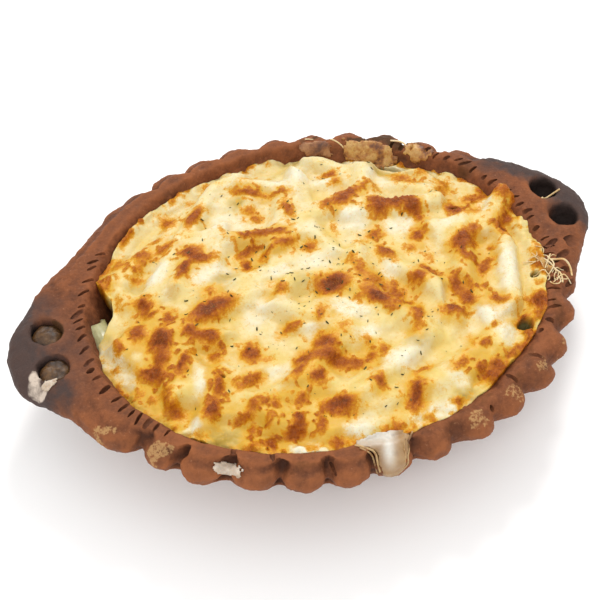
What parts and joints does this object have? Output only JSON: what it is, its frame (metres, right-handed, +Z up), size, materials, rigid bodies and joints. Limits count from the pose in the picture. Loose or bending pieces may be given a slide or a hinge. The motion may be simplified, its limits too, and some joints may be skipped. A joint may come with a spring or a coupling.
{
  "type": "baked pasta in a clay dish",
  "caption": "Oval hand-made clay baking dish with a crimped brim and an eared lug at each end, filled with baked tube pasta in white sauce under a browned cheese crust.",
  "frame": {"origin": "middle of the flat foot, on the surface that the dish stands on", "axes": "+X along the dish from one lug to the other, +Y across it, +Z up out of the dish"},
  "size_m": [0.2901, 0.2065, 0.0576],
  "materials": {
    "clay": "unglazed fired clay, reddish brown, smoke-blackened at the lugs, with dried kitchen residue",
    "pasta_and_sauce": "food: cooked tube pasta in moist pale white sauce",
    "browned_cheese": "food: melted cheese, cream to yellow, slightly oily, toasted golden to dark brown on its ridges"
  },
  "bodies": {
    "root": {"dish": "clay", "pasta_filling": "pasta_and_sauce", "cheese_crust": "browned_cheese"}
  },
  "joints": []
}
